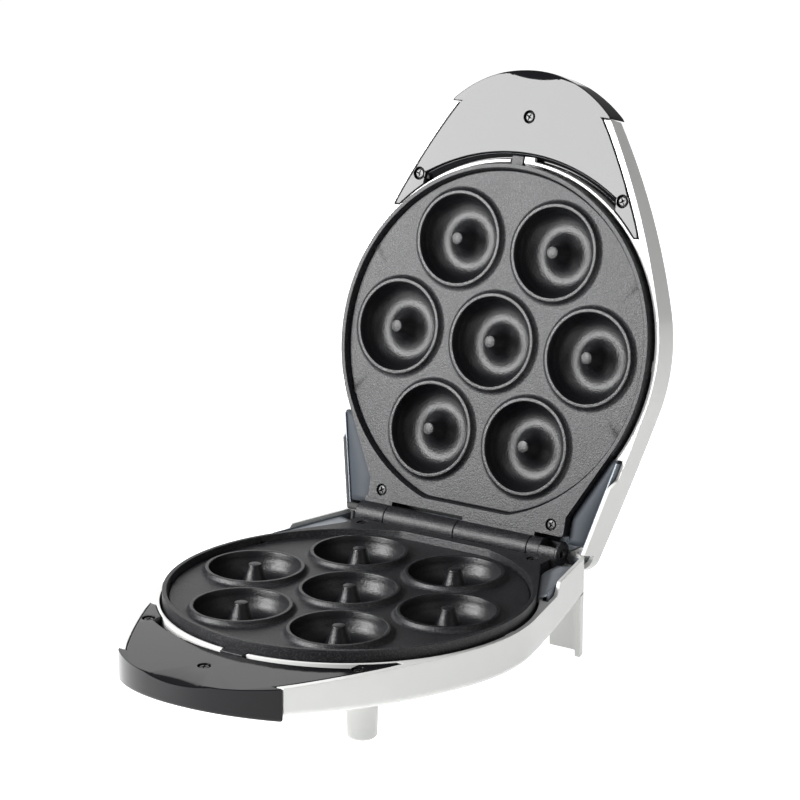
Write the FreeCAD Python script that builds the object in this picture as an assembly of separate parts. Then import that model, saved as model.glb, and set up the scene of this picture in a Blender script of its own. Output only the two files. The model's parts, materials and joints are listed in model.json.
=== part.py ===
import FreeCAD, Part
import math
import os

from FreeCAD import Vector as V

# A seven-ring donut maker: two shells joined by a hinge along X at the back,
# each with a die-cast plate, a heating element, a heat shield and a handle.
# Both halves are drawn closed, as the lower half, with the parting plane at
# z = 0, the plates' centre on the Z axis and the hinge towards +Y. The upper
# half is mirrored, swung open and the whole is stood on the floor. Millimetres.

# Plate
PITCH = 58.0
WELL_FOOT_R = 27.4
CREST_R = WELL_FOOT_R - 3.4
WELL_SIDE_R = CREST_R - 2.0
PLATE_EDGE = 6.8          # level metal outside the outer wells
PLATE_R = PITCH + WELL_FOOT_R + PLATE_EDGE
PLATE_RIM_DROP = 0.5
PLATE_RIM_W = 2.2
PLATE_FLOOR = 4.0
PLATE_SKIN = 2.5
PLATE_DEPTH = 12.0
RECESS_CHORD_Y = PLATE_R - 5.9
EAR_DEG = 29.0
EAR_Y = PLATE_R - 0.4
WELL_COUNT = 6
POST_DROP = 0.2
POST_TOP_R = 3.0
POST_FOOT_R = 6.0
POST_FOOT_DEPTH = 8.8
WELL_MID_R = 13.4
WELL_DEPTH = 13.0
WELL_SIDE_DEPTH = 6.4
CREST_DROP = 1.3
CREST_HALF = 0.9
WELL_SKIN = 2.2
LUG_HALF = 6.6
LUG_Y = -PLATE_R - 4.8
LUG_T = 2.6
LUG_GAP = 0.6              # the lug's slot in the ring is this much wider each side
LID_LUG_END = 0.4          # the lid's lug is half as wide
EAR_BLOCK = 8.0            # the rear skirt is open between the ears, this far in

# Hinge line
OPEN_DEG = 105.0
PIN_R = 2.5
HINGE_Y = EAR_Y + 8.2
KNUCKLE_R = PIN_R + 3.8

# Shell section
WALL = 2.2
RIM_DROP = 6.0            # the shell's rim lies this far from the parting plane
CHEEK_DROP = 0.4          # the rear cheeks reach nearly to it
CHEEK_FOOT_Y = 58.0
CHEEK_TOP_Y = 63.5
LID_CROWN = (28.5, 900.0)    # depth of the crowned back at the centre, and its radius
BASE_CROWN = (30.0, 845.0)
BACK_EDGE_R = 3.5
REAR_WALL_DROP = 8.0      # the rear wall stops below the hinge barrel
RELIEF_Y = HINGE_Y - 1.2     # the lid's cheeks are cut away behind this
DECK_T = 1.8
DECK_END_Y = 48.5
RING_GAP = 1.2            # the bowl ring stands this far off the plate
RING_T = 1.6
RING_DEPTH = 14.0
RING_END_Y = EAR_Y - 7.8
TAB_Y = -1.0
TAB_W = 5.5
TAB_DROP = 6.3
TAB_GAP = 0.35

# Plan of the shells
SIDE_R = PLATE_R + RING_GAP + RING_T + 1.0    # the shell's sides run round the plate
NOSE_Y = -SIDE_R - 45.7    # front of the handle
NOSE_HALF = SIDE_R - 49.2  # half width where the handle's band ends
NOSE_SIDE_Y = NOSE_Y + 18.7
SHOULDER_DEG = 18.0       # where the side leaves the circle towards the front
TAIL_DEG = 14.0           # and towards the hinge
REAR_Y = HINGE_Y + KNUCKLE_R + 1.5
REAR_CORNER_R = 9.0
STOP_GAP = 0.435
# Cut this low, the open lid's rear wall meets the base's from behind.
RELIEF_DROP = (REAR_Y - HINGE_Y) * math.tan(math.radians(OPEN_DEG / 2)) + STOP_GAP
# The corner arc touches the leaning side and the rear wall.
CORNER_Y = REAR_Y - REAR_CORNER_R
CORNER_X = (SIDE_R - REAR_CORNER_R - CORNER_Y * math.sin(math.radians(TAIL_DEG))) / math.cos(math.radians(TAIL_DEG))

# Hinge
# The ears and the barrel stand between the shell's two rear corners.
EAR_X = CORNER_X - 4.83
PIN_CLEARANCE = 0.05
KNUCKLE_GAP = 0.3
HINGE_END = EAR_X + 1.8
CRADLE_X = HINGE_END - 11.0
HINGE_SEAM_A = -HINGE_END + 17.5
HINGE_SEAM_B = -1.0
HINGE_SEAM_C = CRADLE_X - 7.5
CRADLE_WALL = 1.6
PIN_START = -HINGE_END + 2.0
PIN_END = CRADLE_X + 5.0
WEB_Y = HINGE_Y - 3.5
WEB_ROOT = 3.0            # the web reaches this far into the plate
CRADLE_CHEEK = 0.3        # metal left between the cradle and its neighbour
REAR_GAP_HALF = HINGE_END + 4.0

# Feet
FLOOR_DROP = 52.0         # floor below the parting plane
FOOT_X = 45.0
FOOT_Y = -54.0
FOOT_TOP_R = 8.2
FOOT_TIP_R = 7.2
FOOT_EDGE_R = 2.2
FOOT_ROOT = 1.0           # straight stretch below the shell
LEG_X = 52.0
LEG_Y = HINGE_Y - 3.0
LEG_T = 2.8
LEG_TOP = 19.4

# Handle
HANDLE_SEAM = 0.5         # gap round the handle
HANDLE_RIM = 4.0          # white rim beside the handle's plate
HANDLE_SPLIT_Y = NOSE_SIDE_Y + 1.6    # the band starts in front of this
HANDLE_TIP_Y = -SIDE_R + 32.5
HANDLE_T = 2.6
HANDLE_DEPTH = 22.4       # where the band starts
HANDLE_NOSE_DEPTH = 18.0  # and at the front
HANDLE_WALL = 2.4
HANDLE_EDGE_R = 2.0
LENS_ARC_R = 108.4        # inner edge of the handle's plate
LENS_ARC_Y = -PLATE_R - 6.6
LENS_HALF = NOSE_HALF + 11.2
LENS_FLOOR = 12.5
THUMB_R = 244.0           # thumb scoop in the front edge
THUMB_HALF = 18.1
THUMB_EDGE_Y = NOSE_Y + 3.1
THUMB_BACK_Y = NOSE_Y + 5.6

# Screws
HANDLE_SCREW_GAP = 6.853     # from the bowl ring
HANDLE_SCREW_DEG = 52.68
NOSE_SCREW_Y = HANDLE_SPLIT_Y + 3.9
EAR_SCREW_X = EAR_X - 8.0
EAR_SCREW_Y = EAR_Y - 5.2
HEAD_R = 2.7
HEAD_T = 1.9
SHANK_R = 1.6
HEAD_CLEARANCE = 0.45
SHANK_CLEARANCE = 0.25
HEAD_SINK = 0.5
SLOT_L = 3.4
SLOT_W = 0.8
SLOT_DEPTH = 1.0
BOSS_R = 3.9
EAR_BOSS_R = 2.5
SCREW_L = 9.0
REST_GAP = 0.2             # play between a post and what rests on it

# Heating
ELEMENT_SIDE_GAP = 0.3
ELEMENT_TUBE_R = 2.6
ELEMENT_R = PLATE_R - PLATE_SKIN - ELEMENT_TUBE_R - ELEMENT_SIDE_GAP
ELEMENT_GAP_DEG = 26.0
ELEMENT_SEAT = 0.1
TERMINAL_R = 1.1
TERMINAL_L = 5.0
BEAD_R = 2.2
BEAD_L = 2.6
CLIP_R = ELEMENT_R - ELEMENT_TUBE_R - 4.7
CLIP_ANGLES = (30.0, 150.0, 210.0, 330.0)
CLIP_BOSS_R = 3.0
CLIP_W = 9.0
CLIP_T = 1.0
CLIP_IN = 3.5
CLIP_OUT = ELEMENT_TUBE_R + 7.0
SMALL_HEAD_R = 2.3
SMALL_HEAD_T = 1.2
SMALL_SHANK_R = 1.2
SMALL_SCREW_L = 4.0
SMALL_HOLE_L = 5.0

# Heat shield
SHIELD_FLOOR = 18.0
SHIELD_T = 0.7
SHIELD_GAP = 0.4
SHIELD_R = SIDE_R - 5.5
SHIELD_REAR_Y = 40.0
SHIELD_SIDE_DROP = 2.2
SHIELD_SIDE_Y = 50.0
SHIELD_LOW = 14.4
SHIELD_LIFT = 1.0          # the shield stays this far off the shell's back
SHIELD_LIP = 15.6
SHIELD_HOLE_GAP = 0.8
SHIELD_SCREW_L = 3.6
SHIELD_BOSS_FRONT = (SIDE_R - 20.0, -28.0)
SHIELD_BOSS_REAR = (SIDE_R - 28.0, REAR_Y - 37.8)

# Controls and wiring
THERMOSTAT_R = 6.2
THERMOSTAT_H = 7.6
STRAP_W = 6.0
STRAP_T = 1.0
FUSE_R = 1.9
FUSE_L = 10.0
BLOCK_X = -14.0
BLOCK_W = 24.0
BLOCK_Y = HINGE_Y - 4.0
BLOCK_D = 9.0
BLOCK_H = 8.0
BLOCK_BORE_R = 1.6
GLAND_X = -46.0
GLAND_DROP = 16.2
GLAND_FLANGE_R = 4.8
GLAND_NECK_R = 3.9
GLAND_BORE_R = 3.1
GLAND_FLANGE_T = 1.6
LEAD_R = 1.0
LEAD_GAP = 0.3
LEAD_BEND_Y = EAR_Y - 8.8
LEAD_LID_Y = HINGE_Y - 6.4
LEAD_CRIMP = 0.6           # a lead's end is crimped over the pin
SLEEVE_R = 1.8
SLEEVE_START = 5.6
LAMP_X = 8.0
LAMP_Y = -66.0
LENS_R = 3.4
LENS_FLANGE_R = 4.4
LENS_PROUD = 1.2
LENS_SEAT = 0.45           # the flange clears the sloping back by this at its middle
LENS_FLANGE_T = 0.6
LAMP_R = 1.9
LAMP_L = 9.0

REACH = 400.0             # longer than anything, for cutting blocks
EPS = 0.01

parts = {}


# ---------------------------------------------------------------- helpers
def box(x0, x1, y0, y1, z0, z1):
    return Part.makeBox(x1 - x0, y1 - y0, z1 - z0, V(x0, y0, z0))


def rod(x, y, z0, z1, r):
    return Part.makeCylinder(r, z1 - z0, V(x, y, z0), V(0, 0, 1))


def rod_x(x0, x1, y, z, r):
    return Part.makeCylinder(r, x1 - x0, V(x0, y, z), V(1, 0, 0))


def rod_y(x, y0, y1, z, r):
    return Part.makeCylinder(r, y1 - y0, V(x, y0, z), V(0, 1, 0))


def prism(face, z0, z1):
    moved = face.copy()
    moved.translate(V(0, 0, z0))
    return moved.extrude(V(0, 0, z1 - z0))


def grown(face, distance):
    """The face with its outline moved outwards, or inwards if negative."""
    return face.makeOffset2D(distance) if distance else face


def tangent_arc(start, direction, end):
    """Arc from start, leaving along direction, to end."""
    chord = end.sub(start)
    turn = direction.getAngle(chord)
    radius = chord.Length / (2 * math.sin(turn))
    side = chord.cross(V(0, 0, 1)).normalize()
    if side.dot(direction) < 0:
        side = side.multiply(-1)
    middle = (start + end).multiply(0.5) + side.multiply(radius * (1 - math.cos(turn)))
    return Part.Arc(start, middle, end)


def mirror_x(shape):
    return shape.mirror(V(0, 0, 0), V(1, 0, 0))


def fused(shapes):
    return shapes[0].multiFuse(shapes[1:]).removeSplitter()


def tube_path(points, radius):
    """Round tube along straight runs, with ball corners."""
    pieces = [Part.makeSphere(radius, p) for p in points[1:-1]]
    for a, b in zip(points, points[1:]):
        run = b.sub(a)
        pieces.append(Part.makeCylinder(radius, run.Length, a, run))
    return fused(pieces) if len(pieces) > 1 else pieces[0]


# ---------------------------------------------------------------- outlines
def polar(radius, degrees):
    a = math.radians(degrees)
    return V(radius * math.cos(a), radius * math.sin(a), 0)


def shell_face():
    nose_side = V(NOSE_HALF, NOSE_SIDE_Y, 0)
    shoulder = polar(SIDE_R, -SHOULDER_DEG)
    tail = polar(SIDE_R, TAIL_DEG)
    centre = V(CORNER_X, CORNER_Y, 0)
    side_end = centre + polar(REAR_CORNER_R, TAIL_DEG)
    middle = centre + polar(REAR_CORNER_R, (TAIL_DEG + 90) / 2)
    rear_end = V(CORNER_X, REAR_Y, 0)
    leaving = V(-math.sin(math.radians(SHOULDER_DEG)), -math.cos(math.radians(SHOULDER_DEG)), 0)
    half = [
        tangent_arc(shoulder, leaving, nose_side),
        Part.Arc(shoulder, V(SIDE_R, 0, 0), tail),
        Part.LineSegment(tail, side_end),
        Part.Arc(side_end, middle, rear_end),
    ]
    edges = [curve.toShape() for curve in half]
    edges += [mirror_x(edge) for edge in edges]
    nose = Part.Arc(V(-NOSE_HALF, NOSE_SIDE_Y, 0), V(0, NOSE_Y, 0), nose_side)
    rear = Part.LineSegment(rear_end, V(-CORNER_X, REAR_Y, 0))
    edges += [nose.toShape(), rear.toShape()]
    return Part.Face(Part.Wire(Part.__sortEdges__(edges)))


def plate_face():
    """The plate's round outline with its two hinge ears."""
    touch = polar(PLATE_R, EAR_DEG)
    a = math.radians(EAR_DEG)
    ear_y = (PLATE_R - EAR_X * math.cos(a)) / math.sin(a)
    corners = [
        touch, V(EAR_X, ear_y, 0), V(EAR_X, EAR_Y, 0),
        V(-EAR_X, EAR_Y, 0), V(-EAR_X, ear_y, 0), V(-touch.x, touch.y, 0),
    ]
    edges = [Part.makeLine(p, q) for p, q in zip(corners, corners[1:])]
    edges.append(Part.Arc(touch, V(0, -PLATE_R, 0), V(-touch.x, touch.y, 0)).toShape())
    return Part.Face(Part.Wire(Part.__sortEdges__(edges)))


def disc(radius, y=0.0):
    return Part.Face(Part.Wire(Part.makeCircle(radius, V(0, y, 0))))


def half_plane(y0, y1):
    return Part.Face(Part.makePolygon([
        V(-REACH, y0, 0), V(REACH, y0, 0), V(REACH, y1, 0), V(-REACH, y1, 0), V(-REACH, y0, 0),
    ]))


SHELL = shell_face()
PLATE = plate_face()
RING_IN = PLATE_R + RING_GAP
RING_OUT = RING_IN + RING_T


def crown(curve, radius_cut=0.0):
    """Ball that gives the shell's gently crowned back, its seam turned away."""
    depth, radius = curve
    ball = Part.makeSphere(radius - radius_cut)
    ball.rotate(V(0, 0, 0), V(0, 1, 0), -90)
    ball.translate(V(0, 0, radius - depth))
    return ball


def crown_depth(curve, x, y):
    """Depth of the shell's outer face under a point."""
    depth, radius = curve
    return depth - radius + math.sqrt(radius ** 2 - x * x - y * y)


def handle_face():
    """Plan of the handle, with its band in front and its two tips."""
    inner = grown(SHELL, -HANDLE_RIM).common(half_plane(HANDLE_SPLIT_Y - EPS, HANDLE_TIP_Y))
    front = SHELL.common(half_plane(-REACH, HANDLE_SPLIT_Y))
    whole = inner.fuse(front).removeSplitter()
    return whole.cut(disc(RING_OUT + HANDLE_SEAM)).Faces[0]


def lens_face():
    """The low well between the handle's plate and the bowl ring."""
    arc = disc(LENS_ARC_R, LENS_ARC_Y + LENS_ARC_R)
    strip = Part.Face(Part.makePolygon([
        V(-LENS_HALF, LENS_ARC_Y - 5, 0), V(LENS_HALF, LENS_ARC_Y - 5, 0), V(LENS_HALF, 0, 0),
        V(-LENS_HALF, 0, 0), V(-LENS_HALF, LENS_ARC_Y - 5, 0),
    ]))
    return arc.common(strip).cut(disc(RING_OUT + HANDLE_SEAM)).Faces[0]


WING = polar(RING_OUT + HANDLE_SCREW_GAP, -HANDLE_SCREW_DEG)
HANDLE_SCREWS = [(0.0, NOSE_SCREW_Y), (WING.x, WING.y), (-WING.x, WING.y)]
EAR_SCREWS = [(EAR_SCREW_X, EAR_SCREW_Y), (-EAR_SCREW_X, EAR_SCREW_Y)]
SHIELD_SCREWS = [(s * x, y) for x, y in (SHIELD_BOSS_FRONT, SHIELD_BOSS_REAR) for s in (1, -1)]


# ---------------------------------------------------------------- screws
def cross_screw(x, y, top, head_r, head_t, shank_r, length):
    """Cross-head screw standing down from its head's top face."""
    head = rod(x, y, top - head_t, top, head_r)
    head = head.makeFillet(head_t * 0.35, [e for e in head.Edges if e.BoundBox.ZMin > top - EPS])
    shank = rod(x, y, top - length, top - head_t + EPS, shank_r)
    slots = [
        box(x - SLOT_L / 2, x + SLOT_L / 2, y - SLOT_W / 2, y + SLOT_W / 2, top - SLOT_DEPTH, top + 1),
        box(x - SLOT_W / 2, x + SLOT_W / 2, y - SLOT_L / 2, y + SLOT_L / 2, top - SLOT_DEPTH, top + 1),
    ]
    return head.fuse(shank).cut(slots[0]).cut(slots[1])


def screw_group(places, top):
    screws = [cross_screw(x, y, top - HEAD_SINK, HEAD_R, HEAD_T, SHANK_R, SCREW_L) for x, y in places]
    return Part.makeCompound(screws)


def screw_seat(x, y, top):
    """Counterbore and shank hole for a cross-head screw."""
    seat = top - HEAD_SINK - HEAD_T
    bore = rod(x, y, seat, top + 1, HEAD_R + HEAD_CLEARANCE)
    return bore.fuse(rod(x, y, seat - SCREW_L, seat + EPS, SHANK_R + SHANK_CLEARANCE))


# ---------------------------------------------------------------- shell
def shell_walls(curve):
    outer = prism(SHELL, -REACH / 4, -CHEEK_DROP).common(crown(curve))
    low = [e for e in outer.Edges if e.BoundBox.ZMax < -RIM_DROP - WALL]
    outer = outer.makeFillet(BACK_EDGE_R, low)
    inner = prism(grown(SHELL, -WALL), -REACH / 4, 1).common(crown(curve, WALL))
    low = [e for e in inner.Edges if e.BoundBox.ZMax < -RIM_DROP - WALL]
    inner = inner.makeFillet(BACK_EDGE_R - WALL, low)
    walls = outer.cut(inner)
    # The rim is low round the plate and rises to the cheeks beside the hinge.
    profile = Part.Face(Part.makePolygon([
        V(-REACH, -REACH, -RIM_DROP), V(-REACH, CHEEK_FOOT_Y, -RIM_DROP),
        V(-REACH, CHEEK_TOP_Y, -CHEEK_DROP + EPS), V(-REACH, CHEEK_TOP_Y, RIM_DROP),
        V(-REACH, -REACH, RIM_DROP), V(-REACH, -REACH, -RIM_DROP),
    ]))
    walls = walls.cut(profile.extrude(V(2 * REACH, 0, 0)))
    return walls.cut(box(-REAR_GAP_HALF, REAR_GAP_HALF, HINGE_Y - 10, REACH, -REAR_WALL_DROP, REACH))


def shell_deck():
    """Level deck and bowl ring that frame the plate."""
    deck = grown(SHELL, -WALL + EPS).common(half_plane(-REACH, DECK_END_Y)).cut(disc(RING_IN + EPS))
    deck = prism(deck, -RIM_DROP - DECK_T, -RIM_DROP)
    ring = grown(PLATE, RING_GAP + RING_T).cut(grown(PLATE, RING_GAP))
    ring = prism(ring, -RING_DEPTH, -RIM_DROP).common(box(-REACH, REACH, -REACH, RING_END_Y, -REACH, 0))
    tab = box(PLATE_R + TAB_GAP, RING_IN + EPS, TAB_Y - TAB_W / 2, TAB_Y + TAB_W / 2,
              -TAB_DROP - LUG_T, -TAB_DROP)
    return fused([deck, ring, tab, mirror_x(tab)])


def boss(curve, x, y, top, radius=BOSS_R):
    """Screw post standing on the shell's crowned back."""
    foot = -crown_depth(curve, x, y) + WALL / 2
    post = rod(x, y, foot, -top, radius)
    return post.cut(rod(x, y, -top - SCREW_L, -top + EPS, SHANK_R))


def housing(curve):
    is_base = curve == BASE_CROWN
    handle_hole = prism(grown(handle_face(), HANDLE_SEAM), -LENS_FLOOR - HANDLE_T - 1, REACH)
    front_hole = box(-REACH, REACH, -REACH, HANDLE_SPLIT_Y + HANDLE_SEAM, -REACH, REACH)
    front_wall = grown(SHELL, -WALL / 2).common(
        half_plane(HANDLE_SPLIT_Y + HANDLE_SEAM, HANDLE_SPLIT_Y + HANDLE_SEAM + WALL))
    front_wall = prism(front_wall, -REACH / 4, -RIM_DROP - HANDLE_T - REST_GAP).common(crown(curve, WALL / 2))
    body = shell_walls(curve).fuse(shell_deck())
    body = body.cut(handle_hole.common(prism(grown(SHELL, -HANDLE_RIM + HANDLE_SEAM), -REACH, REACH)))
    body = body.cut(front_hole).fuse(front_wall)
    lug_end = LUG_HALF if is_base else LID_LUG_END
    body = body.cut(box(-LUG_HALF - LUG_GAP, lug_end + LUG_GAP, LUG_Y - 2, -PLATE_R,
                        -RIM_DROP - LUG_T - 1, 0))
    posts = [boss(curve, x, y, RIM_DROP + HANDLE_T + REST_GAP) for x, y in HANDLE_SCREWS]
    posts += [boss(curve, x, y, PLATE_FLOOR + PLATE_SKIN + REST_GAP, EAR_BOSS_R) for x, y in EAR_SCREWS]
    posts += [boss(curve, x, y, SHIELD_FLOOR + SHIELD_T + 0.1) for x, y in SHIELD_SCREWS]
    if is_base:
        posts += feet()
    else:
        posts.append(box(lug_end + LUG_GAP, LUG_HALF + LUG_GAP, LUG_Y, -RING_IN, -RIM_DROP - LUG_T, -RIM_DROP))
    body = body.multiFuse(posts)
    for x, y in HANDLE_SCREWS:
        body = body.cut(rod(x, y, -RIM_DROP - HANDLE_T - SCREW_L, 0, SHANK_R))
    for x, y in SHIELD_SCREWS:
        body = body.cut(rod(x, y, -SHIELD_FLOOR - SHIELD_SCREW_L, -SHIELD_FLOOR, SHANK_R))
    if is_base:
        wall_hole = rod_y(GLAND_X, REAR_Y - 3 * WALL, REAR_Y + 1, -GLAND_DROP, GLAND_NECK_R + 0.1)
        return body.cut(wall_hole).removeSplitter()
    body = body.cut(box(-REACH, REACH, RELIEF_Y, REACH, -RELIEF_DROP, REACH))
    for side in (1, -1):
        body = body.cut(rod(side * LAMP_X, LAMP_Y, -REACH, -SHIELD_FLOOR - 1, LENS_R + 0.1))
    return body.removeSplitter()


def feet():
    """Two round posts in front and two corner legs under the rear wall."""
    top = -crown_depth(BASE_CROWN, FOOT_X, FOOT_Y) + WALL / 2
    root = top - WALL - FOOT_ROOT
    post = Part.makeCone(FOOT_TIP_R, FOOT_TOP_R, root + FLOOR_DROP, V(FOOT_X, FOOT_Y, -FLOOR_DROP))
    tip = [e for e in post.Edges if e.BoundBox.ZMax < -FLOOR_DROP + EPS]
    post = post.makeFillet(FOOT_EDGE_R, tip).fuse(rod(FOOT_X, FOOT_Y, root, top, FOOT_TOP_R))
    plan = SHELL.cut(grown(SHELL, -LEG_T))
    leg = prism(plan, -FLOOR_DROP, -LEG_TOP).common(box(LEG_X, REACH, LEG_Y, REACH, -REACH, 0))
    return [post, mirror_x(post), leg, mirror_x(leg)]


# ---------------------------------------------------------------- handle
def below_handle(lift):
    """Everything under the handle's rising lower edge, moved up by lift."""
    slope = (HANDLE_DEPTH - HANDLE_NOSE_DEPTH) / (HANDLE_SPLIT_Y - NOSE_Y)
    rear = 2.0
    z_rear = -HANDLE_DEPTH + lift - slope * rear
    z_front = -HANDLE_NOSE_DEPTH + lift + slope * rear
    profile = Part.Face(Part.makePolygon([
        V(-REACH, HANDLE_SPLIT_Y + rear, -REACH), V(-REACH, HANDLE_SPLIT_Y + rear, z_rear),
        V(-REACH, NOSE_Y - rear, z_front), V(-REACH, NOSE_Y - rear, -REACH),
        V(-REACH, HANDLE_SPLIT_Y + rear, -REACH),
    ]))
    return profile.extrude(V(2 * REACH, 0, 0))


def handle():
    plan = handle_face()
    lens = lens_face()
    top = prism(plan, -RIM_DROP - HANDLE_T, -RIM_DROP)
    top = top.cut(prism(lens, -REACH, 0))
    shelf_wall = prism(grown(lens, HANDLE_T / 2).common(plan), -LENS_FLOOR, -RIM_DROP - HANDLE_T / 2)
    shelf_wall = shelf_wall.cut(prism(lens, -LENS_FLOOR + HANDLE_T / 2, 0))
    nose = SHELL.common(half_plane(-REACH, HANDLE_SPLIT_Y))
    cap = prism(nose, -HANDLE_DEPTH, -RIM_DROP).cut(below_handle(0))
    low = [e for e in cap.Edges if e.BoundBox.ZMax < -HANDLE_NOSE_DEPTH + 0.1
           and e.BoundBox.YMin < HANDLE_SPLIT_Y - 1]
    cap = cap.makeFillet(HANDLE_EDGE_R, low)
    hollow = grown(SHELL, -HANDLE_WALL).common(half_plane(-REACH, HANDLE_SPLIT_Y + 1))
    hollow = prism(hollow, -HANDLE_DEPTH, -RIM_DROP - HANDLE_T)
    cap = cap.cut(hollow.cut(below_handle(HANDLE_WALL)))
    for x, y in HANDLE_SCREWS[1:]:
        shelf_wall = shelf_wall.cut(rod(x, y, -REACH, -RIM_DROP - HANDLE_T, BOSS_R + 0.3))
    body = fused([top, cap, shelf_wall])
    rc_y = THUMB_BACK_Y - THUMB_CUT_R
    ball = Part.makeSphere(THUMB_R, V(0, rc_y, -RIM_DROP + math.sqrt(THUMB_R ** 2 - THUMB_CUT_R ** 2)))
    body = body.cut(ball)
    for x, y in HANDLE_SCREWS:
        body = body.cut(screw_seat(x, y, -RIM_DROP))
    return body


SAGITTA = THUMB_BACK_Y - THUMB_EDGE_Y
THUMB_CUT_R = (THUMB_HALF ** 2 + SAGITTA ** 2) / (2 * SAGITTA)


# ---------------------------------------------------------------- plate
def well_places():
    ring = [(PITCH * math.cos(math.radians(60 * i)), PITCH * math.sin(math.radians(60 * i)))
            for i in range(WELL_COUNT)]
    return [(0.0, 0.0)] + ring


def revolved(edges):
    return Part.Face(Part.Wire(edges)).revolve(V(0, 0, 0), V(0, 0, 1), 360)


def arc3(a, b, c):
    return Part.Arc(V(a[0], 0, a[1]), V(b[0], 0, b[1]), V(c[0], 0, c[1])).toShape()


def line2(a, b):
    return Part.makeLine(V(a[0], 0, a[1]), V(b[0], 0, b[1]))


def well_cup():
    """One ring-shaped well: raised collar, bowl and centre post, as a turned cup."""
    post_top = (POST_TOP_R, -POST_DROP)
    post_foot = (POST_FOOT_R, -POST_FOOT_DEPTH)
    side = (WELL_SIDE_R, -WELL_SIDE_DEPTH)
    crest_in = (CREST_R - CREST_HALF, -CREST_DROP - CREST_HALF)
    crest_out = (CREST_R + CREST_HALF, -CREST_DROP - CREST_HALF)
    foot = (WELL_FOOT_R, -PLATE_FLOOR)
    foot_under = (WELL_FOOT_R, -PLATE_FLOOR - PLATE_SKIN)
    under = (WELL_SIDE_R + WELL_SKIN, -WELL_SIDE_DEPTH - WELL_SKIN)
    low = (WELL_MID_R, -WELL_DEPTH - WELL_SKIN)
    return revolved([
        line2((0, -POST_DROP), post_top),
        line2(post_top, post_foot),
        arc3(post_foot, (WELL_MID_R, -WELL_DEPTH), side),
        line2(side, crest_in),
        arc3(crest_in, (CREST_R, -CREST_DROP), crest_out),
        line2(crest_out, foot),
        line2(foot, foot_under),
        line2(foot_under, under),
        arc3(under, (WELL_SIDE_R - 1.0, -WELL_DEPTH - 0.2), low),
        line2(low, (0, -WELL_DEPTH - WELL_SKIN)),
        line2((0, -WELL_DEPTH - WELL_SKIN), (0, -POST_DROP)),
    ])


def knuckle(x0, x1):
    barrel = rod_x(x0, x1, HINGE_Y, 0, KNUCKLE_R)
    web = box(x0, x1, EAR_Y - WEB_ROOT, WEB_Y, -KNUCKLE_R, -PLATE_RIM_DROP)
    return barrel.fuse(web)


def plate(knuckles, cradle, lug_from, lug_to):
    body = prism(PLATE, -PLATE_DEPTH, -PLATE_RIM_DROP)
    recess = disc(PLATE_R - PLATE_RIM_W).common(half_plane(-REACH, RECESS_CHORD_Y))
    body = body.cut(prism(recess, -PLATE_FLOOR, 1))
    body = body.cut(prism(grown(PLATE, -PLATE_SKIN), -REACH, -PLATE_FLOOR - PLATE_SKIN))
    body = body.cut(box(-EAR_X + EAR_BLOCK, EAR_X - EAR_BLOCK, EAR_Y - PLATE_SKIN - EPS, REACH, -REACH, -KNUCKLE_R - 1))
    cup = well_cup()
    wells = []
    for x, y in well_places():
        body = body.cut(rod(x, y, -PLATE_DEPTH, 0, WELL_FOOT_R))
        copy = cup.copy()
        copy.translate(V(x, y, 0))
        wells.append(copy)
    for angle in CLIP_ANGLES:
        p = polar(CLIP_R, angle)
        wells.append(rod(p.x, p.y, -CLIP_SEAT, -PLATE_FLOOR - 1, CLIP_BOSS_R))
    wells.append(rod(STRAP_END.x, STRAP_END.y, -STRAP_SEAT, -PLATE_FLOOR - 1, CLIP_BOSS_R))
    for x, y in EAR_SCREWS:
        wells.append(rod(x, y, -PLATE_FLOOR - PLATE_SKIN, -PLATE_RIM_DROP, BOSS_R))
    wells += [knuckle(a, b) for a, b in knuckles]
    if cradle:
        wells.append(knuckle(*cradle))
    wells.append(box(lug_from, lug_to, LUG_Y, -PLATE_R + 2, -RIM_DROP - LUG_T, -RIM_DROP))
    body = body.multiFuse(wells).removeSplitter()
    body = body.cut(rod_x(-REACH, REACH, HINGE_Y, 0, PIN_R + PIN_CLEARANCE))
    if cradle:
        x0 = cradle[0] + CRADLE_CHEEK
        body = body.cut(box(x0, cradle[1] - CRADLE_WALL, HINGE_Y - KNUCKLE_R + CRADLE_WALL,
                            HINGE_Y + KNUCKLE_R - CRADLE_WALL, -KNUCKLE_R + CRADLE_WALL, REACH))
    for x, y in EAR_SCREWS:
        body = body.cut(screw_seat(x, y, -PLATE_RIM_DROP))
    for angle in CLIP_ANGLES:
        p = polar(CLIP_R, angle)
        body = body.cut(rod(p.x, p.y, -CLIP_SEAT - 1, -CLIP_SEAT + SMALL_HOLE_L, SMALL_SHANK_R + EPS))
    body = body.cut(rod(STRAP_END.x, STRAP_END.y, -STRAP_SEAT - 1, -STRAP_SEAT + SMALL_HOLE_L, SMALL_SHANK_R + EPS))
    return body


ELEMENT_DROP = PLATE_FLOOR + PLATE_SKIN + ELEMENT_SEAT + ELEMENT_TUBE_R
CLIP_SEAT = ELEMENT_DROP + ELEMENT_TUBE_R + ELEMENT_SEAT
# The leads pass just under the beads.
LEAD_Z = -ELEMENT_DROP - ELEMENT_TUBE_R - BEAD_L - LEAD_R - LEAD_GAP
THERMOSTAT_AT = V(PITCH / 2, -PITCH * math.tan(math.radians(30)) / 2, 0)
STRAP_END = V(0, -PITCH / math.sqrt(3), 0)
FUSE_AT = V(-PITCH / 2, -PITCH * math.tan(math.radians(30)) / 2, 0)
STRAP_SEAT = PLATE_FLOOR + PLATE_SKIN + 0.1 + THERMOSTAT_H


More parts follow.
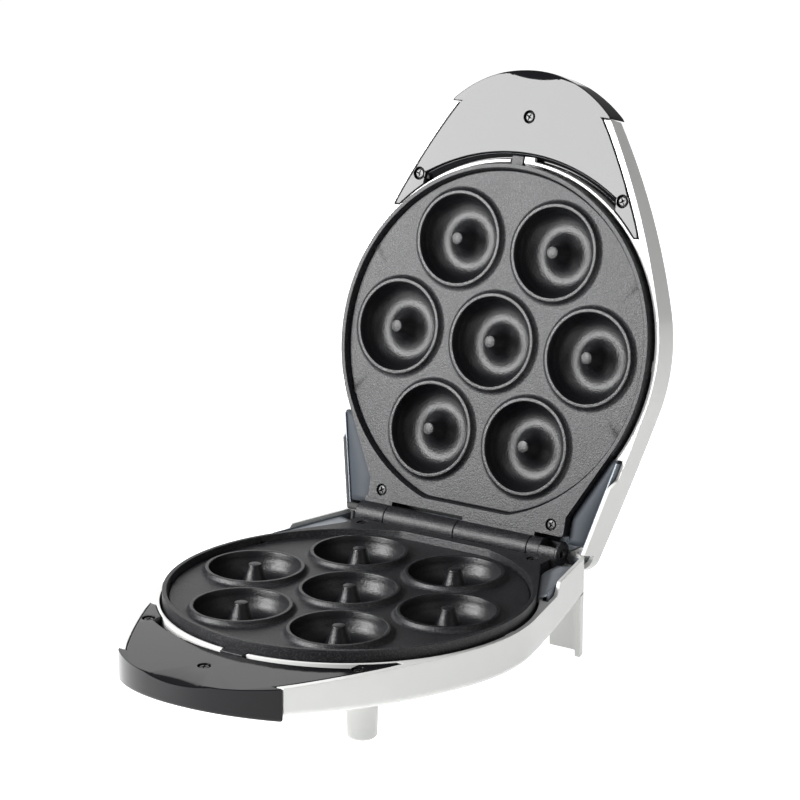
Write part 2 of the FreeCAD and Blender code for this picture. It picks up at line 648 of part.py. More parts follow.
# ---------------------------------------------------------------- heating
def element():
    """Sheathed heating rod bent round under the plate, open at the hinge."""
    start = polar(ELEMENT_R, 90 + ELEMENT_GAP_DEG)
    section = Part.makeCircle(ELEMENT_TUBE_R, V(ELEMENT_R, 0, 0), V(0, 1, 0))
    ring = Part.Face(Part.Wire(section)).revolve(V(0, 0, 0), V(0, 0, 1), 360 - 2 * ELEMENT_GAP_DEG)
    ring.rotate(V(0, 0, 0), V(0, 0, 1), 90 + ELEMENT_GAP_DEG)
    ring.translate(V(0, 0, -ELEMENT_DROP))
    ends = []
    for side in (1, -1):
        p = V(side * start.x, start.y, -ELEMENT_DROP)
        ends.append(Part.makeSphere(ELEMENT_TUBE_R, p))
    return fused([ring] + ends)


def terminal_places():
    start = polar(ELEMENT_R, 90 + ELEMENT_GAP_DEG)
    return [(side * start.x, start.y) for side in (-1, 1)]


def terminals():
    """Cold pins welded to the rod's two ends, standing down from it."""
    top = -ELEMENT_DROP - ELEMENT_TUBE_R
    pins = [rod(x, y, top - BEAD_L - TERMINAL_L * 0.4, top, TERMINAL_R) for x, y in terminal_places()]
    return Part.makeCompound(pins)


def beads():
    """Ceramic beads round the cold pins."""
    top = -ELEMENT_DROP - ELEMENT_TUBE_R
    rings = []
    for x, y in terminal_places():
        ring = rod(x, y, top - BEAD_L, top - 0.15, BEAD_R)
        rings.append(ring.cut(rod(x, y, -REACH, 0, TERMINAL_R + 0.05)))
    return Part.makeCompound(rings)


def clips():
    plates = []
    for angle in CLIP_ANGLES:
        plate_piece = box(CLIP_R - CLIP_IN, CLIP_R + CLIP_OUT, -CLIP_W / 2, CLIP_W / 2,
                          -CLIP_SEAT - CLIP_T, -CLIP_SEAT)
        plate_piece = plate_piece.cut(rod(CLIP_R, 0, -REACH, 0, SMALL_SHANK_R + 0.1))
        plate_piece.rotate(V(0, 0, 0), V(0, 0, 1), angle)
        plates.append(plate_piece)
    return Part.makeCompound(plates)


def small_screw(p, seat, length):
    """Pan-head screw driven upwards from under its seat."""
    head = rod(p.x, p.y, seat - SMALL_HEAD_T, seat, SMALL_HEAD_R)
    return head.fuse(rod(p.x, p.y, seat - EPS, seat + length, SMALL_SHANK_R))


def clip_screws():
    return Part.makeCompound(
        [small_screw(polar(CLIP_R, a), -CLIP_SEAT - CLIP_T, SMALL_SCREW_L) for a in CLIP_ANGLES])


# ---------------------------------------------------------------- shield
def shield(curve):
    """Pressed steel tray under the plate, lining the cheeks by the hinge."""
    lined = grown(SHELL, -WALL - SHIELD_GAP).common(half_plane(SHIELD_REAR_Y, REACH))
    inner = grown(SHELL, -WALL - SHIELD_GAP - SHIELD_T).common(half_plane(-REACH, REACH))
    plan = disc(SHIELD_R).fuse(lined).removeSplitter().Faces[0]
    floor = prism(plan, -SHIELD_FLOOR - SHIELD_T, -SHIELD_FLOOR)
    lip = prism(disc(SHIELD_R).cut(disc(SHIELD_R - SHIELD_T)), -SHIELD_FLOOR - EPS, -SHIELD_LIP)
    lip = lip.common(box(-REACH, REACH, -REACH, SHIELD_REAR_Y + 2, -REACH, 0))
    side = prism(lined.cut(inner), -SHIELD_FLOOR - EPS, -SHIELD_SIDE_DROP)
    side = side.cut(box(-REACH, REACH, -REACH, SHIELD_SIDE_Y, -SHIELD_LOW, REACH))
    side = side.cut(box(-REAR_GAP_HALF, REAR_GAP_HALF, HINGE_Y - 12, REACH, -REAR_WALL_DROP - 0.6, REACH))
    body = fused([floor, lip, side]).common(crown(curve, WALL + SHIELD_LIFT))
    for x, y in EAR_SCREWS:
        body = body.cut(rod(x, y, -REACH, 0, EAR_BOSS_R + SHIELD_HOLE_GAP))
    for x, y in SHIELD_SCREWS:
        body = body.cut(rod(x, y, -REACH, 0, SHANK_R + SHANK_CLEARANCE))
    if curve == BASE_CROWN:
        return body.cut(rod_y(GLAND_X, REAR_Y - 8, REAR_Y, -GLAND_DROP, GLAND_NECK_R + 0.4))
    return body.cut(box(-REACH, REACH, RELIEF_Y - 0.4, REACH, -RELIEF_DROP - 0.4, REACH))


def shield_screws():
    seat = -SHIELD_FLOOR
    heads = [cross_screw(x, y, seat + SMALL_HEAD_T, SMALL_HEAD_R, SMALL_HEAD_T, SMALL_SHANK_R + 0.2, SHIELD_SCREW_L)
             for x, y in SHIELD_SCREWS]
    return Part.makeCompound(heads)


# ---------------------------------------------------------------- controls
def thermostat():
    top = -PLATE_FLOOR - PLATE_SKIN - 0.1
    x, y = THERMOSTAT_AT.x, THERMOSTAT_AT.y
    can = rod(x, y, top - THERMOSTAT_H * 0.45, top, THERMOSTAT_R)
    base = rod(x, y, top - THERMOSTAT_H, top - THERMOSTAT_H * 0.45 + EPS, THERMOSTAT_R * 0.86)
    return can.fuse(base)


def strap():
    along = STRAP_END.sub(THERMOSTAT_AT)
    length = along.Length
    bar = box(-STRAP_W / 2, length + STRAP_W / 2, -STRAP_W / 2, STRAP_W / 2, 0, STRAP_T)
    bar.rotate(V(0, 0, 0), V(0, 0, 1), math.degrees(math.atan2(along.y, along.x)))
    bar.translate(V(THERMOSTAT_AT.x, THERMOSTAT_AT.y, -STRAP_SEAT - STRAP_T))
    return bar.cut(rod(STRAP_END.x, STRAP_END.y, -REACH, 0, SMALL_SHANK_R + 0.1))


def fuse_link():
    z = -PLATE_FLOOR - PLATE_SKIN - FUSE_R - 0.05
    return rod_x(FUSE_AT.x - FUSE_L / 2, FUSE_AT.x + FUSE_L / 2, FUSE_AT.y, z, FUSE_R)


def terminal_block():
    body = box(BLOCK_X - BLOCK_W / 2, BLOCK_X + BLOCK_W / 2, BLOCK_Y - BLOCK_D / 2, BLOCK_Y + BLOCK_D / 2,
               -SHIELD_FLOOR + 0.05, -SHIELD_FLOOR + BLOCK_H)
    for i in (-1, 0, 1):
        x = BLOCK_X + i * BLOCK_W / 3
        body = body.cut(rod_y(x, BLOCK_Y - BLOCK_D, BLOCK_Y + BLOCK_D, -SHIELD_FLOOR + BLOCK_H / 2, BLOCK_BORE_R))
    return body


def cord_gland():
    """Flanged bush in the rear wall for the mains lead."""
    z = -GLAND_DROP
    inner_y = REAR_Y - WALL - SHIELD_GAP - SHIELD_T - 0.2
    neck = rod_y(GLAND_X, inner_y, REAR_Y + GLAND_FLANGE_T, z, GLAND_NECK_R)
    flange = rod_y(GLAND_X, REAR_Y + 0.05, REAR_Y + GLAND_FLANGE_T, z, GLAND_FLANGE_R)
    return fused([neck, flange]).cut(rod_y(GLAND_X, 0, REACH, z, GLAND_BORE_R))


def lower_leads():
    """Insulated leads from the block to the rod's two pins, and to the hinge."""
    z = -SHIELD_FLOOR + BLOCK_H / 2
    y_front = BLOCK_Y - BLOCK_D / 2 - 0.1
    step = BLOCK_W / 3
    pin_x, pin_y = terminal_places()[0]
    runs = []
    for side, x in ((-1, BLOCK_X - step), (1, BLOCK_X + step)):
        bend = V(side * pin_x, LEAD_BEND_Y, LEAD_Z)
        runs.append([V(x, y_front, z), V(x, LEAD_BEND_Y, z), bend, V(side * pin_x, pin_y + LEAD_CRIMP, LEAD_Z)])
    corner_x = -HINGE_END - SLEEVE_START
    runs.append([V(BLOCK_X - BLOCK_W / 2 - 0.1, BLOCK_Y, z), V(-EAR_X, BLOCK_Y, LEAD_Z),
                 V(corner_x, HINGE_Y - LEAD_R, -RIM_DROP), V(corner_x, HINGE_Y, -CHEEK_DROP)])
    return Part.makeCompound([tube_path(run, LEAD_R) for run in runs])


def hinge_sleeve():
    """Woven sleeve on the hinge line that carries the leads into the lid."""
    tube = rod_x(-HINGE_END - 8.4, -HINGE_END - 2.0, HINGE_Y, 2.2, SLEEVE_R)
    return tube.cut(rod_x(-HINGE_END - 9, -HINGE_END, HINGE_Y, 2.2, LEAD_R + 0.1))


def upper_leads():
    """Insulated leads from the hinge's corner to the lid rod's two pins."""
    pin_x, pin_y = terminal_places()[0]
    runs = []
    for side, z in ((-1, LEAD_Z), (1, LEAD_Z + 2.5 * LEAD_R)):
        start = V(-HINGE_END - SLEEVE_START, LEAD_LID_Y, z)
        bend = V(side * pin_x, LEAD_LID_Y, z)
        runs.append([start, bend, V(side * pin_x, pin_y + LEAD_CRIMP, LEAD_Z)])
    return Part.makeCompound([tube_path(run, LEAD_R) for run in runs])


def lamp_lens(side):
    x, y = side * LAMP_X, LAMP_Y
    outer = -crown_depth(LID_CROWN, LAMP_X, LAMP_Y)
    flange_z = outer + WALL + LENS_SEAT
    dome = rod(x, y, outer - LENS_PROUD, flange_z + LENS_FLANGE_T, LENS_R)
    front = [e for e in dome.Edges if e.BoundBox.ZMax < outer - LENS_PROUD + EPS]
    dome = dome.makeFillet(LENS_PROUD * 0.8, front)
    return dome.fuse(rod(x, y, flange_z, flange_z + LENS_FLANGE_T, LENS_FLANGE_R))


def lamp(side):
    x = side * LAMP_X
    outer = -crown_depth(LID_CROWN, LAMP_X, LAMP_Y)
    z = outer + WALL + LENS_SEAT + LENS_FLANGE_T + 0.05 + LAMP_R
    return rod_y(x, LAMP_Y - LAMP_L / 2, LAMP_Y + LAMP_L / 2, z, LAMP_R)


def hinge_pin():
    pin = rod_x(PIN_START, PIN_END, HINGE_Y, 0, PIN_R)
    return pin.makeChamfer(0.6, [pin.Edges[0], pin.Edges[2]])


# ---------------------------------------------------------------- assembly
def lower(name, shape):
    parts[name] = shape


def upper(name, shape):
    """Mirror a part drawn for the lower half and swing it open."""
    shape = shape.mirror(V(0, 0, 0), V(0, 0, 1))
    shape.rotate(V(0, HINGE_Y, 0), V(1, 0, 0), -OPEN_DEG)
    parts[name] = shape


g = KNUCKLE_GAP / 2
lower("lower_housing", housing(BASE_CROWN))
upper("upper_housing", housing(LID_CROWN))
lower("lower_handle", handle())
upper("upper_handle", handle())
lower("lower_plate", plate(
    [(HINGE_SEAM_A + g, HINGE_SEAM_B - g), (HINGE_SEAM_C + g, CRADLE_X + EPS)],
    (CRADLE_X, HINGE_END), -LUG_HALF, LUG_HALF))
upper("upper_plate", plate(
    [(-HINGE_END, HINGE_SEAM_A - g), (HINGE_SEAM_B + g, HINGE_SEAM_C - g)],
    None, -LUG_HALF, LID_LUG_END))
lower("hinge_pin", hinge_pin())
for put, half, curve in ((lower, "lower", BASE_CROWN), (upper, "upper", LID_CROWN)):
    put(half + "_handle_screws", screw_group(HANDLE_SCREWS, -RIM_DROP))
    put(half + "_plate_screws", screw_group(EAR_SCREWS, -PLATE_RIM_DROP))
    put(half + "_element", element())
    put(half + "_element_terminals", terminals())
    put(half + "_element_beads", beads())
    put(half + "_element_clips", clips())
    put(half + "_clip_screws", clip_screws())
    put(half + "_heat_shield", shield(curve))
    put(half + "_shield_screws", shield_screws())
lower("thermostat", thermostat())
lower("thermostat_strap", strap())
lower("strap_screw", small_screw(STRAP_END, -STRAP_SEAT - STRAP_T, SMALL_SCREW_L))
upper("thermal_fuse", fuse_link())
lower("terminal_block", terminal_block())
lower("cord_gland", cord_gland())
lower("lower_leads", lower_leads())
lower("hinge_lead_sleeve", hinge_sleeve())
upper("upper_leads", upper_leads())
for word, sign in (("power", -1), ("ready", 1)):
    upper(word + "_lamp_lens", lamp_lens(sign))
    upper(word + "_lamp", lamp(sign))

# Stand the whole on the floor, with its plan box centred on the origin.
reach = FreeCAD.BoundBox()
for name in ("lower_housing", "lower_handle", "upper_housing", "upper_handle"):
    reach.add(parts[name].optimalBoundingBox(False, False))
shift = V(0, -(reach.YMin + reach.YMax) / 2, FLOOR_DROP)
os.makedirs("parts", exist_ok=True)
for name, shape in parts.items():
    shape.translate(shift)
    shape.exportStep("parts/" + name + ".step")
print("shift", [round(c, 3) for c in shift], "lowest", round(reach.ZMin + FLOOR_DROP, 3))
print("size", round(reach.XLength, 2), round(reach.YLength, 2), round(reach.ZLength, 2))
for name, shape in parts.items():
    print(name, len(shape.Solids), round(sum(s.Volume for s in shape.Solids)), shape.isValid())
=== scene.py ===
# %% [markdown]
# # A ring-donut maker, lid open
#
# The appliance is two shallow white shells on one hinge. Each carries a black
# cast plate with seven ring wells, and a glossy black handle cover in front.
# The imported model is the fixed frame: it gives the places, the sizes and the
# hinge. This file adds the finishes, and remakes the pieces that show most.

import json
import math

import bmesh
import bpy
from mathutils import Matrix, Vector


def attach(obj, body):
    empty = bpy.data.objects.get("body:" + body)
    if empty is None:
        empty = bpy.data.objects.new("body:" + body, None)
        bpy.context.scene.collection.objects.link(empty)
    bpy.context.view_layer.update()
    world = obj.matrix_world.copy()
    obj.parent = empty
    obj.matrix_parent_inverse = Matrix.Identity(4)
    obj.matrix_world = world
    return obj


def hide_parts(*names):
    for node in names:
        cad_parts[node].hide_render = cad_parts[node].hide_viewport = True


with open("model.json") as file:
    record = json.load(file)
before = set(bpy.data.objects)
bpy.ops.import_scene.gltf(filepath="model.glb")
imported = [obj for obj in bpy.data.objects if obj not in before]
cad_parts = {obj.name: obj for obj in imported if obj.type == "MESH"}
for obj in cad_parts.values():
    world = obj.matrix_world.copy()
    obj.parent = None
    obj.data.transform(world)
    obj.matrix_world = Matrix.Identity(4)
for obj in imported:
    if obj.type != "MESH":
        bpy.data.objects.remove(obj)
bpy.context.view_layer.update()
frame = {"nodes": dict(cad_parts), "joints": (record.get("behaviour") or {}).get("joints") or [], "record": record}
nodes = frame["nodes"]

# %% [markdown]
# ## One drawing, two halves
#
# Both halves are nearly the same moulding, so each piece is drawn once, as a
# closed lower half in millimetres: the parting plane is z = 0, the plate's
# centre is on the Z axis, and the hinge is towards +Y. A matrix puts the
# drawing in its place. The lower one moves it, and the upper one mirrors it
# and swings it open about the hinge, by the joint's own range.

# %% Where the two halves go
MM = 0.001
hinge = frame["joints"][0]
HINGE_Y = 100.0
OPEN = math.radians(hinge["range_deg"][1])
axis_point = Vector(hinge["pos_m"])

to_hinge = Matrix.Translation(axis_point)
from_drawing = Matrix.Translation((0, -HINGE_Y * MM, 0)) @ Matrix.Scale(MM, 4)
swing = Matrix.Rotation(-OPEN, 4, "X")
mirror = Matrix.Scale(-1, 4, (0, 0, 1))
PLACE = {
    "lower": to_hinge @ from_drawing,
    "upper": to_hinge @ swing @ from_drawing @ mirror,
}
BODY = {"lower": "base", "upper": "lid"}
print("hinge at", [round(c, 4) for c in axis_point], "open", round(math.degrees(OPEN), 1))

# %% [markdown]
# ## Camera
#
# A long lens from the front right and a little above, as for a catalogue
# picture. The distance is long, so that the far well is nearly as large as
# the near one.

# %% Make the camera
AZIMUTH = math.radians(34.05)
ELEVATION = math.radians(15.78)
ROLL = math.radians(0.18)
LENS = 141.4
CAMERA_FROM_HINGE = Vector((0.8403, -1.2996, 0.5084))

back = Vector((
    math.sin(AZIMUTH) * math.cos(ELEVATION),
    -math.cos(AZIMUTH) * math.cos(ELEVATION),
    math.sin(ELEVATION),
))
right = Vector((math.cos(AZIMUTH), math.sin(AZIMUTH), 0))
camera = bpy.data.objects.new("camera", bpy.data.cameras.new("camera"))
bpy.context.scene.collection.objects.link(camera)
facing = Matrix((right, back.cross(right), back)).transposed().to_4x4()
standpoint = Matrix.Translation(axis_point + CAMERA_FROM_HINGE)
camera.matrix_world = standpoint @ facing @ Matrix.Rotation(ROLL, 4, "Z")
camera.data.lens = LENS
bpy.context.scene.camera = camera
print("camera", [round(c, 3) for c in camera.location])

# %% [markdown]
# ## Light and floor
#
# The lid's cover is black, yet it looks pale grey, because it mirrors a soft
# box that stands low at the front left. So that box is placed first, on the
# mirrored line of sight. The base's cover lies level and mirrors what stands
# behind it, so a dim panel is placed there in the same way. A white room
# fills in the rest.

# %% Aim a soft box
def soft_box(name, place, target, width, height, watts):
    data = bpy.data.lights.new(name, "AREA")
    data.shape = "RECTANGLE"
    data.size = width
    data.size_y = height
    data.energy = watts
    box = bpy.data.objects.new(name, data)
    bpy.context.scene.collection.objects.link(box)
    box.location = place
    box.rotation_euler = (Vector(target) - Vector(place)).to_track_quat("-Z", "Y").to_euler()
    return box


# %% The two lights that the covers mirror
LID_COVER = (0, -110, -6)
BASE_COVER = (0, -120, -6)
KEY_DISTANCE = 1.2
PANEL_DISTANCE = 1.4

lid_face = PLACE["upper"] @ Vector(LID_COVER)
lid_normal = (PLACE["upper"].to_3x3() @ Vector((0, 0, 1))).normalized()
sight = (camera.location - lid_face).normalized()
mirrored = 2 * sight.dot(lid_normal) * lid_normal - sight
key = soft_box("key", lid_face + KEY_DISTANCE * mirrored, lid_face, 0.62, 0.55, 36.0)

base_face = PLACE["lower"] @ Vector(BASE_COVER)
away = base_face - camera.location
beyond = Vector((away.x, away.y, -away.z)).normalized()
soft_box("back", base_face + PANEL_DISTANCE * beyond, base_face, 1.0, 0.7, 2.6)
print("key light at", [round(c, 3) for c in key.location])

# %% Two weak lights for the top and the right side
soft_box("top", (0.25, -0.5, 1.2), (0, 0, 0.1), 0.8, 0.6, 3.0)
soft_box("side", (1.2, -0.2, 0.75), (0, 0, 0.12), 0.6, 0.8, 1.8)

# %% A white room
ROOM_LIGHT = 0.21

world = bpy.data.worlds.new("white room")
bpy.context.scene.world = world
world.use_nodes = True
background = world.node_tree.nodes["Background"]
background.inputs["Color"].default_value = (1, 1, 1, 1)
background.inputs["Strength"].default_value = ROOM_LIGHT
bpy.context.scene.view_settings.view_transform = "Standard"

# %% The floor is a wide pale sheet
FLOOR_HALF = 6.0

bm = bmesh.new()
bmesh.ops.create_grid(bm, x_segments=1, y_segments=1, size=FLOOR_HALF)
sheet = bpy.data.meshes.new("floor")
bm.to_mesh(sheet)
bm.free()
floor = bpy.data.objects.new("floor", sheet)
bpy.context.scene.collection.objects.link(floor)
print("floor", 2 * FLOOR_HALF, "m wide")

# %% [markdown]
# ## Writing shader maths in Python
#
# A finish is a small tree of nodes, which is hard to read when each node and
# link takes three lines. This class wraps a socket, so that `noise * 0.2 + 0.3`
# adds the two Math nodes by itself, and `node` adds any other kind.

# %% Sockets that add up
class Value:
    """One output socket that can be used in arithmetic."""

    def __init__(self, tree, socket):
        self.tree = tree
        self.socket = socket

    def maths(self, operation, other, swap=False):
        node = self.tree.nodes.new("ShaderNodeMath")
        node.operation = operation
        for slot, value in zip((1, 0) if swap else (0, 1), (self, other)):
            if isinstance(value, Value):
                self.tree.links.new(value.socket, node.inputs[slot])
            else:
                node.inputs[slot].default_value = value
        return Value(self.tree, node.outputs[0])

    def __add__(self, other):
        return self.maths("ADD", other)

    __radd__ = __add__

    def __sub__(self, other):
        return self.maths("SUBTRACT", other)

    def __rsub__(self, other):
        return self.maths("SUBTRACT", other, swap=True)

    def __mul__(self, other):
        return self.maths("MULTIPLY", other)

    __rmul__ = __mul__

    def over(self, edge):
        return self.maths("GREATER_THAN", edge)


# %% A finish and the nodes it is made of
class Finish:
    """A material with one Principled shader."""

    def __init__(self, name, color, roughness, metallic=0.0, **fixed):
        self.material = bpy.data.materials.new(name)
        self.material.use_nodes = True
        self.tree = self.material.node_tree
        self.shader = self.tree.nodes["Principled BSDF"]
        self.set(Base_Color=(*color, 1), Roughness=roughness, Metallic=metallic, **fixed)

    def set(self, **sockets):
        for name, value in sockets.items():
            self.fill(self.shader.inputs[name.replace("_", " ")], value)

    def fill(self, socket, value):
        if isinstance(value, Value):
            self.tree.links.new(value.socket, socket)
        else:
            socket.default_value = value

    def node(self, kind, output=0, settings=None, **sockets):
        node = self.tree.nodes.new("ShaderNode" + kind)
        for name, value in (settings or {}).items():
            setattr(node, name, value)
        for name, value in sockets.items():
            self.fill(node.inputs[name.replace("_", " ")], value)
        return Value(self.tree, node.outputs[output])

    def place(self):
        return self.node("TexCoord", "Object")

    def noise(self, size_mm, detail=2.0, roughness=0.5):
        """Smooth noise from 0 to 1 whose blobs are about size_mm across."""
        return self.node("TexNoise", Vector=self.place(), Scale=1 / (size_mm * MM),
                         Detail=detail, Roughness=roughness)

    def between(self, low, high, amount):
        """A colour that runs from low to high with amount."""
        mix = self.tree.nodes.new("ShaderNodeMix")
        mix.data_type = "RGBA"
        self.fill(mix.inputs["Factor"], amount)
        # A Mix node keeps a set of sockets for each type: inputs 6 and 7 and output 2 are colours.
        for socket, color in ((mix.inputs[6], low), (mix.inputs[7], high)):
            socket.default_value = (*color, 1)
        return Value(self.tree, mix.outputs[2])

    def bump(self, height, depth_mm, strength):
        return self.node("Bump", Height=height, Distance=depth_mm * MM, Strength=strength)

# %% [markdown]
# ## White gloss plastic
#
# The shells are injection-moulded in glossy white. Real gloss is never a
# perfect mirror: the skin has a faint waviness from the mould, so a wide, very
# shallow bump bends its reflections, and the roughness drifts a little.

# %% White gloss
def white_gloss():
    finish = Finish("white gloss plastic", (0.52, 0.53, 0.515), 0.2,
                    Coat_Weight=0.25, Coat_Roughness=0.06)
    drift = finish.noise(22, detail=3)
    ripple = finish.noise(3.5, detail=1)
    finish.set(
        Base_Color=finish.between((0.50, 0.51, 0.495), (0.55, 0.55, 0.54), drift),
        Roughness=drift * 0.1 + 0.16,
        Normal=finish.bump(ripple, 0.02, 0.25),
    )
    return finish.material


# %% [markdown]
# ## Black gloss plastic
#
# The handle covers are piano black, and nearly all that shows of them is what
# they reflect. The base colour stays close to nothing, the roughness is low,
# and a trace of fine haze stands for handling.

# %% Black gloss
def black_gloss():
    finish = Finish("black gloss plastic", (0.004, 0.004, 0.005), 0.07, Specular_IOR_Level=0.21)
    haze = finish.noise(14, detail=4, roughness=0.6)
    finish.set(
        Roughness=haze * 0.07 + 0.05,
        Normal=finish.bump(finish.noise(5, detail=1), 0.01, 0.15),
    )
    return finish.material


# %% [markdown]
# ## Non-stick coat
#
# The plates are cast aluminium sprayed with a black non-stick coat. It dries
# to a fine pebble, which catches the light as a sparkle on the flats. In the
# wells the casting is polished before it is sprayed, so there it is glossier
# and has no pale flecks. The mesh carries that as an attribute named "well",
# which is 1 in the wells and 0 on the flats.

# %% Non-stick coat
def non_stick():
    black, grey = (0.004, 0.004, 0.005), (0.05, 0.05, 0.055)
    finish = Finish("non-stick coat", black, 0.4, Specular_IOR_Level=0.33)
    well = finish.node("Attribute", output=2, settings={"attribute_name": "well"})
    flat = 1 - well
    pebble = finish.noise(0.9, detail=3, roughness=0.65)
    cloud = finish.noise(16, detail=3)
    fleck = finish.noise(0.6, detail=1).over(0.57)
    finish.set(
        Base_Color=finish.between(black, grey, fleck * flat * 0.5),
        Roughness=flat * 0.10 + cloud * 0.05 + pebble * 0.08 + 0.25,
        Normal=finish.bump(pebble, 0.24, 0.95),
    )
    return finish.material


# %% [markdown]
# ## Metals
#
# Screws, clips and pins are blackened steel, which is dark but takes a sheen
# from the studio light. The heat shields are aluminised sheet, a slate grey
# with a soft mottle. The rods' sheaths are dulled by heat, so they are a
# darker and browner steel.

# %% Steel
def steel(name, color, roughness, mottle_mm, spread=0.12, darker=0.7, metallic=1.0):
    finish = Finish(name, color, roughness, metallic=metallic)
    mottle = finish.noise(mottle_mm, detail=4, roughness=0.6)
    finish.set(
        Base_Color=finish.between(tuple(c * darker for c in color), color, mottle),
        Roughness=mottle * spread + roughness,
        Normal=finish.bump(finish.noise(mottle_mm / 6, detail=2), 0.02, 0.3),
    )
    return finish.material


# %% Screws, clips and pins
def screw_steel():
    finish = Finish("blackened steel", (0.012, 0.012, 0.013), 0.3, Specular_IOR_Level=0.35)
    wear = finish.noise(1.2, detail=3)
    finish.set(Roughness=wear * 0.12 + 0.24)
    return finish.material


# %% [markdown]
# ## Small finishes
#
# Ceramic, phenolic, nylon, rubber and the woven sleeves of the leads differ in
# colour, in how rough they are and in the size of their grain, so one function
# makes them all. A lens or a lamp is clear and coloured instead.

# %% Grainy solids
def grainy(name, color, roughness, grain_mm, depth_mm, darker=0.85):
    finish = Finish(name, color, roughness)
    grain = finish.noise(grain_mm, detail=3)
    finish.set(
        Base_Color=finish.between(tuple(c * darker for c in color), color, grain),
        Roughness=grain * 0.15 + roughness,
        Normal=finish.bump(grain, depth_mm, 0.6),
    )
    return finish.material


# %% Clear colours
def clear(name, color, roughness):
    finish = Finish(name, color, roughness, Transmission_Weight=0.75, IOR=1.49)
    swirl = finish.noise(1.5, detail=2)
    finish.set(
        Base_Color=finish.between(tuple(c * 0.8 for c in color), color, swirl),
        Roughness=swirl * 0.05 + roughness,
    )
    return finish.material


# %% [markdown]
# ## The floor's finish
#
# The floor is matt and glows a little, so that it stays an even pale sheet
# without strong lamps, which would wash out the white shells.

# %% The floor's own finish
def studio_floor():
    finish = Finish("studio floor", (0.85, 0.85, 0.85), 0.6,
                    Emission_Color=(1, 1, 1, 1), Emission_Strength=0.8)
    finish.set(Roughness=finish.noise(60, detail=2) * 0.1 + 0.55)
    return finish.material


floor.data.materials.append(studio_floor())

# %% [markdown]
# ## Handing out the finishes
#
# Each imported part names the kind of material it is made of. That name picks
# its finish here, so parts that nobody remakes below are finished already.

# %% One finish for each kind of material
FINISHES = {
    "white_plastic": white_gloss(),
    "black_plastic": black_gloss(),
    "non_stick": non_stick(),
    "steel": screw_steel(),
    "shield_steel": steel("aluminised steel", (0.17, 0.19, 0.215), 0.42, 6, metallic=0.4),
    "element_steel": steel("heat-dulled sheath", (0.33, 0.29, 0.26), 0.42, 9),
    "ceramic": grainy("steatite", (0.80, 0.77, 0.69), 0.6, 0.6, 0.03),
    "switch_plastic": grainy("phenolic resin", (0.06, 0.035, 0.025), 0.4, 1.5, 0.02),
    "block_plastic": grainy("cream nylon", (0.78, 0.75, 0.68), 0.45, 2.5, 0.01),
    "gland_rubber": grainy("black rubber", (0.03, 0.03, 0.03), 0.6, 0.4, 0.02),
    "lead_sleeve": grainy("woven glass sleeve", (0.035, 0.035, 0.035), 0.75, 0.35, 0.06, 0.6),
    "red_lens": clear("red lens", (0.75, 0.03, 0.02), 0.08),
    "green_lens": clear("green lens", (0.04, 0.6, 0.12), 0.08),
    "lamp_glass": clear("lamp glass", (0.95, 0.7, 0.5), 0.05),
}
slot_of = {row["node"]: row["material_slot"] for row in frame["record"]["subparts"]}
for name, node in nodes.items():
    node.data.materials.clear()
    node.data.materials.append(FINISHES[slot_of[name]])
print("finishes", len(FINISHES))

# %% [markdown]
# ## From a drawing to a finished piece
#
# Every new piece ends the same way. Its drawing is moved to its place, turned
# the right way out after mirroring, and given sharp creases only where two
# faces meet at more than a set angle. Then it rides on its body, takes its
# finish, and hides the CAD node that it stands for, if it is given one.

# %% Seat a drawn piece
WELD = 0.002


def seat(bm, name, half, slot, stands_for=None, crease=32):
    bmesh.ops.remove_doubles(bm, verts=bm.verts, dist=WELD)
    bm.transform(PLACE[half])
    if half == "upper":
        bmesh.ops.reverse_faces(bm, faces=bm.faces)
    for edge in bm.edges:
        edge.smooth = edge.calc_face_angle(0) < math.radians(crease)
    for face in bm.faces:
        face.smooth = True
    mesh = bpy.data.meshes.new(name)
    bm.to_mesh(mesh)
    bm.free()
    piece = bpy.data.objects.new(name, mesh)
    bpy.context.scene.collection.objects.link(piece)
    mesh.materials.append(FINISHES[slot])
    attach(piece, BODY[half])
    if stands_for:
        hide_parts(stands_for)
    print(name, len(mesh.polygons), "faces")
    return piece


def even_shading(piece):
    """Large flat faces keep flat shading beside small rounded ones."""
    normals = piece.modifiers.new("even shading", "WEIGHTED_NORMAL")
    normals.keep_sharp = True


# %% [markdown]
# ## Drawing outlines
#
# An outline is a list of points, made of straight corners and arcs. The arcs
# are given as on paper, by a start, a point on the way and an end. `ring_of`
# turns the points into a closed loop of edges, and a fill closes a flat face
# between an outer loop and the holes in it.

# %% Arcs and loops
def arc(start, middle, end, steps):
    """Points from start to end on the circle through all three."""
    a, b, c = (Vector(p).to_2d() for p in (start, middle, end))
    across, along = b - a, c - a
    turn = 2 * across.cross(along)
    centre = a + Vector((
        along.y * across.length_squared - across.y * along.length_squared,
        across.x * along.length_squared - along.x * across.length_squared,
    )) / turn
    radius = (a - centre).length
    first = math.atan2(*(a - centre).yx)
    sweep = math.atan2(*(c - centre).yx) - first
    if turn > 0 and sweep < 0:
        sweep += math.tau
    if turn < 0 and sweep > 0:
        sweep -= math.tau
    angles = [first + sweep * i / steps for i in range(steps + 1)]
    return [(centre.x + radius * math.cos(t), centre.y + radius * math.sin(t)) for t in angles]


def circle(x, y, radius, steps):
    angles = [math.tau * i / steps for i in range(steps)]
    return [(x + radius * math.cos(t), y + radius * math.sin(t)) for t in angles]


def mirrored_x(points):
    return [(-x, y) for x, y in reversed(points)]


def ring_of(bm, points, z):
    """A closed loop of edges through the points, at height z."""
    verts = [bm.verts.new((x, y, z)) for x, y in points]
    return [bm.edges.new(pair) for pair in zip(verts, verts[1:] + verts[:1])]


